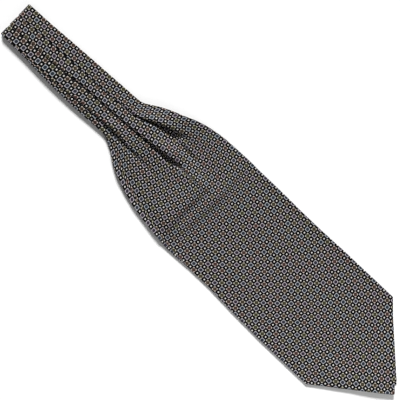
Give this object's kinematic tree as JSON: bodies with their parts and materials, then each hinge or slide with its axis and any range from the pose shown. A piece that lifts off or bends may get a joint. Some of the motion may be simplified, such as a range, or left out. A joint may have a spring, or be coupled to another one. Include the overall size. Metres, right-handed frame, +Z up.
{
  "type": "silk cravat, folded flat",
  "caption": "Pleated silk day cravat folded in half at the neck and laid flat, one pointed blade lying on the other.",
  "frame": {"origin": "middle of the bounding box, on the surface that the cravat lies on", "axes": "+Z up from the surface; +Y along the cravat towards the neck fold; the folded edges of the pleats face -X"},
  "size_m": [0.1412, 0.611, 0.0114],
  "materials": {
    "silk": "dark silk with a small all-over geometric repeat and a soft sheen"
  },
  "bodies": {
    "root": {"front_blade": "silk", "front_neckband": "silk", "neck_fold": "silk", "back_neckband": "silk", "back_blade": "silk"}
  },
  "joints": []
}
